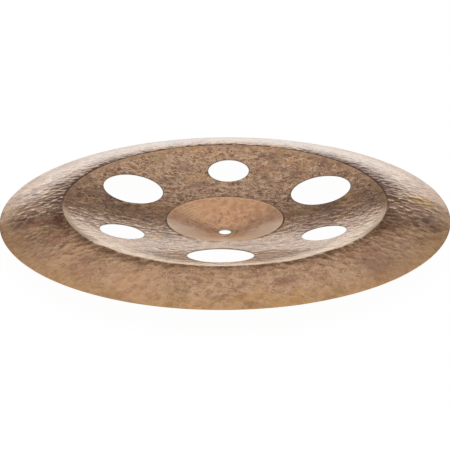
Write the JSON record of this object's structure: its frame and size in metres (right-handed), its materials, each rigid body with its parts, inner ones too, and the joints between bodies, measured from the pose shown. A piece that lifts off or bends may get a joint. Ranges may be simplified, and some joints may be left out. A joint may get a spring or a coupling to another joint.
{
  "type": "china cymbal",
  "caption": "Thin bronze china cymbal: a shallow cup in a dished bow with round vent holes, and a flange turned over at a sharp crease, played on a stand cup down.",
  "frame": {"origin": "centre of the post hole, on the underside of the crown, which is the lowest face", "axes": "+Z along the post, out of the open side of the cup; X and Y in the plane of the disc, with the middle of a large vent at -Y"},
  "size_m": [0.4572, 0.4572, 0.0382],
  "materials": {
    "hammered_bronze": "dark aged B20 bell bronze, hammered all over, with fine lathe rings in the cup"
  },
  "bodies": {
    "root": {"cymbal": "hammered_bronze"}
  },
  "joints": []
}
